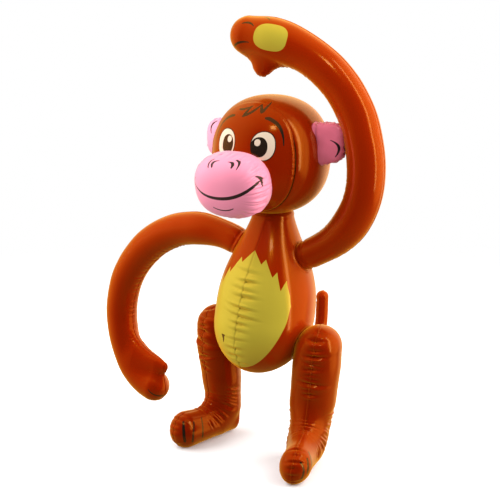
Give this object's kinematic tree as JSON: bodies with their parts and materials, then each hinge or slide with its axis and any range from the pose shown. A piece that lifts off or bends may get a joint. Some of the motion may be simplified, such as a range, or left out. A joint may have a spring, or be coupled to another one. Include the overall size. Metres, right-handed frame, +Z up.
{
  "type": "inflatable toy monkey",
  "caption": "Blow-up vinyl toy monkey standing on its feet, one long arm curled over the head and the other hanging in a hook.",
  "frame": {"origin": "on the floor under the middle of the whole toy's box", "axes": "+Z up; the monkey faces -Y; its own left side, with the raised arm, is +X"},
  "size_m": [0.4478, 0.2634, 0.5814],
  "materials": {
    "brown_vinyl": "glossy printed PVC film, inflated tight",
    "pink_vinyl": "glossy printed PVC film, inflated tight",
    "valve_vinyl": "soft moulded PVC plug and flange"
  },
  "bodies": {
    "root": {"torso": "brown_vinyl", "head": "brown_vinyl", "muzzle": "pink_vinyl", "ear_left": "pink_vinyl", "ear_right": "pink_vinyl", "arm_left": "brown_vinyl", "arm_right": "brown_vinyl", "leg_left": "brown_vinyl", "leg_right": "brown_vinyl", "tail": "brown_vinyl", "air_valve": "valve_vinyl"}
  },
  "joints": []
}
